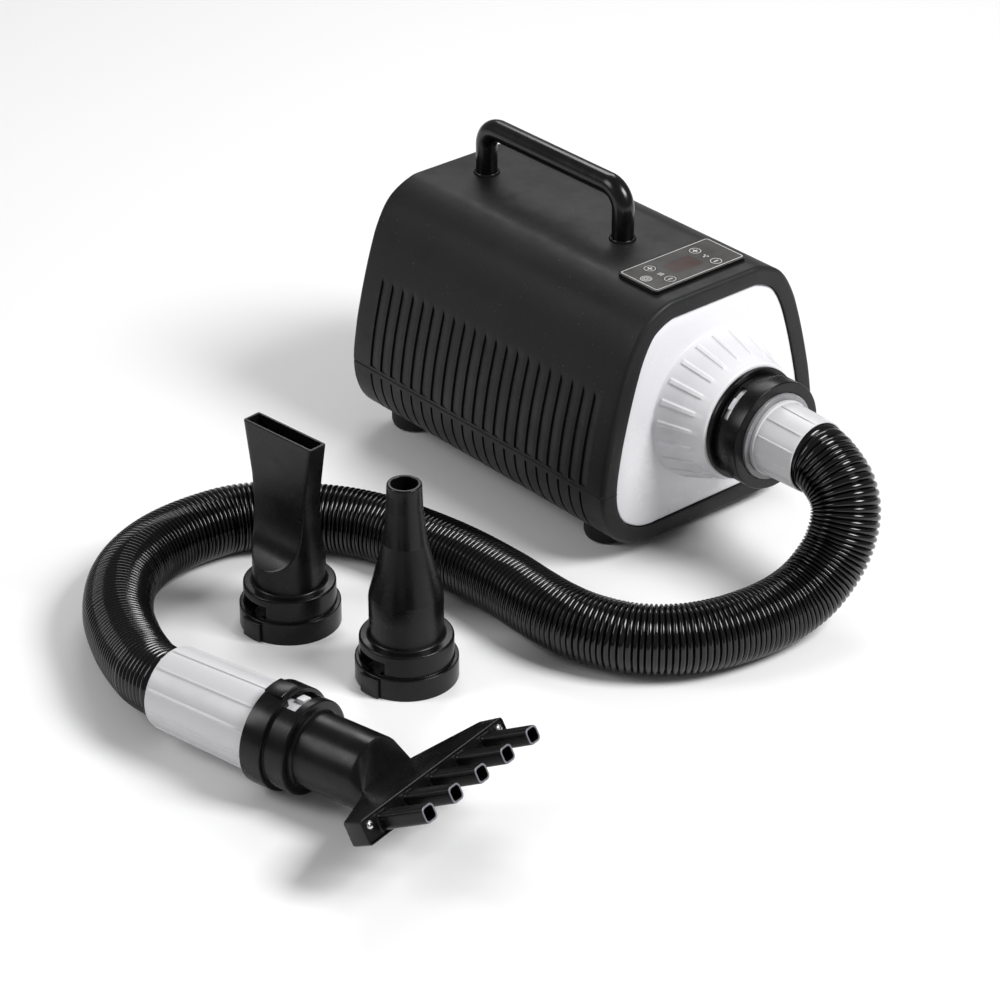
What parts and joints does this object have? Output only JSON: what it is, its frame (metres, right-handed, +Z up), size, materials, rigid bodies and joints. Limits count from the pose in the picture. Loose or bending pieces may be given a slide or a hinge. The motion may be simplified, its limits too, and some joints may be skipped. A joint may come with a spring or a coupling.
{
  "type": "pet dryer",
  "caption": "Floor-standing air blower with carrying handle, keypad and display, ribbed flexible hose with hand grip, comb-shaped nozzle and loose round and flat nozzles.",
  "frame": {"origin": "centre of the underside of the box round the machine and the two loose nozzles, at floor level, without the hose and what is on it", "axes": "+X out of the machine's air outlet, +Y from the loose nozzles towards the machine, +Z up"},
  "size_m": [0.5229, 0.5724, 0.2386],
  "materials": {
    "upper_shell": "fine textured black plastic",
    "lower_shell": "fine textured black plastic",
    "rear_panel": "fine textured black plastic",
    "intake_cover": "fine textured black plastic",
    "front_panel": "glossy white plastic",
    "outlet_spigot": "glossy white plastic",
    "outlet_flange": "satin black plastic",
    "outlet_collar": "satin black plastic",
    "round_nozzle": "satin black plastic",
    "flat_nozzle": "satin black plastic",
    "comb_body": "satin black plastic",
    "comb_plate": "satin black plastic",
    "handle_bar": "satin black plastic",
    "handle_ring_front": "satin black plastic",
    "handle_ring_rear": "satin black plastic",
    "panel_bezel": "satin black plastic",
    "cord_gland": "satin black plastic",
    "swivel_ring": "translucent grey plastic",
    "hose_cuff": "satin pale grey plastic",
    "hand_grip": "satin pale grey plastic",
    "hose": "semi-gloss black hose",
    "foot_front_right": "black rubber",
    "foot_front_left": "black rubber",
    "foot_rear_right": "black rubber",
    "foot_rear_left": "black rubber",
    "foot_screw_front_right": "zinc plated steel",
    "foot_screw_front_left": "zinc plated steel",
    "foot_screw_rear_right": "zinc plated steel",
    "foot_screw_rear_left": "zinc plated steel",
    "handle_bolt_front": "zinc plated steel",
    "handle_bolt_rear": "zinc plated steel",
    "heater_sleeve": "zinc plated steel",
    "thermal_cutout": "zinc plated steel",
    "comb_screw_1": "steel",
    "comb_screw_2": "steel",
    "motor_shaft": "steel",
    "impeller_nut": "steel",
    "panel_overlay": "glossy printed overlay",
    "display_window": "dark red tinted window",
    "display_module": "potted display module",
    "control_board": "solder resist",
    "power_board": "solder resist",
    "key_air_plus": "dark glossy key",
    "key_air_minus": "dark glossy key",
    "key_heat_plus": "dark glossy key",
    "key_heat_minus": "dark glossy key",
    "key_power": "dark glossy key",
    "filter_foam": "open cell foam",
    "fan_housing": "natural nylon",
    "motor_bracket_rear": "natural nylon",
    "motor_bracket_front": "natural nylon",
    "brush_holder_right": "natural nylon",
    "brush_holder_left": "natural nylon",
    "motor_case": "as cast and turned",
    "impeller_shroud": "as cast and turned",
    "impeller": "as cast and turned",
    "heater_frame": "mica sheet",
    "heater_coil": "oxidised heating wire",
    "capacitor": "shrink sleeve"
  },
  "bodies": {
    "machine": {"upper_shell": "upper_shell", "lower_shell": "lower_shell", "rear_panel": "rear_panel", "front_panel": "front_panel", "outlet_spigot": "outlet_spigot", "outlet_flange": "outlet_flange", "handle_bar": "handle_bar", "handle_ring_front": "handle_ring_front", "handle_ring_rear": "handle_ring_rear", "panel_bezel": "panel_bezel", "cord_gland": "cord_gland", "swivel_ring": "swivel_ring", "hose_cuff": "hose_cuff", "hand_grip": "hand_grip", "hose": "hose", "foot_front_right": "foot_front_right", "foot_front_left": "foot_front_left", "foot_rear_right": "foot_rear_right", "foot_rear_left": "foot_rear_left", "foot_screw_front_right": "foot_screw_front_right", "foot_screw_front_left": "foot_screw_front_left", "foot_screw_rear_right": "foot_screw_rear_right", "foot_screw_rear_left": "foot_screw_rear_left", "handle_bolt_front": "handle_bolt_front", "handle_bolt_rear": "handle_bolt_rear", "heater_sleeve": "heater_sleeve", "thermal_cutout": "thermal_cutout", "panel_overlay": "panel_overlay", "display_window": "display_window", "display_module": "display_module", "control_board": "control_board", "power_board": "power_board", "filter_foam": "filter_foam", "fan_housing": "fan_housing", "motor_bracket_rear": "motor_bracket_rear", "motor_bracket_front": "motor_bracket_front", "brush_holder_right": "brush_holder_right", "brush_holder_left": "brush_holder_left", "motor_case": "motor_case", "impeller_shroud": "impeller_shroud", "heater_frame": "heater_frame", "heater_coil": "heater_coil", "capacitor": "capacitor"},
    "collar": {"outlet_collar": "outlet_collar"},
    "rotor": {"motor_shaft": "motor_shaft", "impeller": "impeller", "impeller_nut": "impeller_nut"},
    "comb": {"comb_body": "comb_body", "comb_plate": "comb_plate", "comb_screw_1": "comb_screw_1", "comb_screw_2": "comb_screw_2"},
    "flat_tool": {"flat_nozzle": "flat_nozzle"},
    "round_tool": {"round_nozzle": "round_nozzle"},
    "intake": {"intake_cover": "intake_cover"},
    "key_air_plus_cap": {"key_air_plus": "key_air_plus"},
    "key_air_minus_cap": {"key_air_minus": "key_air_minus"},
    "key_heat_plus_cap": {"key_heat_plus": "key_heat_plus"},
    "key_heat_minus_cap": {"key_heat_minus": "key_heat_minus"},
    "key_power_cap": {"key_power": "key_power"}
  },
  "joints": [
    {"name": "collar_twist", "type": "hinge", "parent": "machine", "child": "collar", "pos_m": [0.158, 0.1185, 0.1009], "axis": [1, 0, 0], "range_deg": [-10, 14]},
    {"name": "rotor_spin", "type": "hinge", "parent": "machine", "child": "rotor", "pos_m": [-0.117, 0.1185, 0.1009], "axis": [1, 0, 0], "continuous": true},
    {"name": "comb_twist", "type": "hinge", "parent": "machine", "child": "comb", "pos_m": [0.16581, -0.3057, 0.0347], "axis": [0.9755, 0.2198, 0], "range_deg": [-10, 14]},
    {"name": "flat_nozzle_lift", "type": "slide", "parent": "machine", "child": "flat_tool", "axis": [0, 0, 1], "range_m": [0, 0.05]},
    {"name": "round_nozzle_lift", "type": "slide", "parent": "machine", "child": "round_tool", "axis": [0, 0, 1], "range_m": [0, 0.05]},
    {"name": "intake_cover_pull", "type": "slide", "parent": "machine", "child": "intake", "axis": [-1, 0, 0], "range_m": [0, 0.03]},
    {"name": "key_air_plus_press", "type": "slide", "parent": "machine", "child": "key_air_plus_cap", "axis": [0, 0, -1], "range_m": [0, 0.0004], "stiffness_N_per_m": 3000, "springref_m": -0.0003},
    {"name": "key_air_minus_press", "type": "slide", "parent": "machine", "child": "key_air_minus_cap", "axis": [0, 0, -1], "range_m": [0, 0.0004], "stiffness_N_per_m": 3000, "springref_m": -0.0003},
    {"name": "key_heat_plus_press", "type": "slide", "parent": "machine", "child": "key_heat_plus_cap", "axis": [0, 0, -1], "range_m": [0, 0.0004], "stiffness_N_per_m": 3000, "springref_m": -0.0003},
    {"name": "key_heat_minus_press", "type": "slide", "parent": "machine", "child": "key_heat_minus_cap", "axis": [0, 0, -1], "range_m": [0, 0.0004], "stiffness_N_per_m": 3000, "springref_m": -0.0003},
    {"name": "key_power_press", "type": "slide", "parent": "machine", "child": "key_power_cap", "axis": [0, 0, -1], "range_m": [0, 0.0004], "stiffness_N_per_m": 3000, "springref_m": -0.0003}
  ]
}
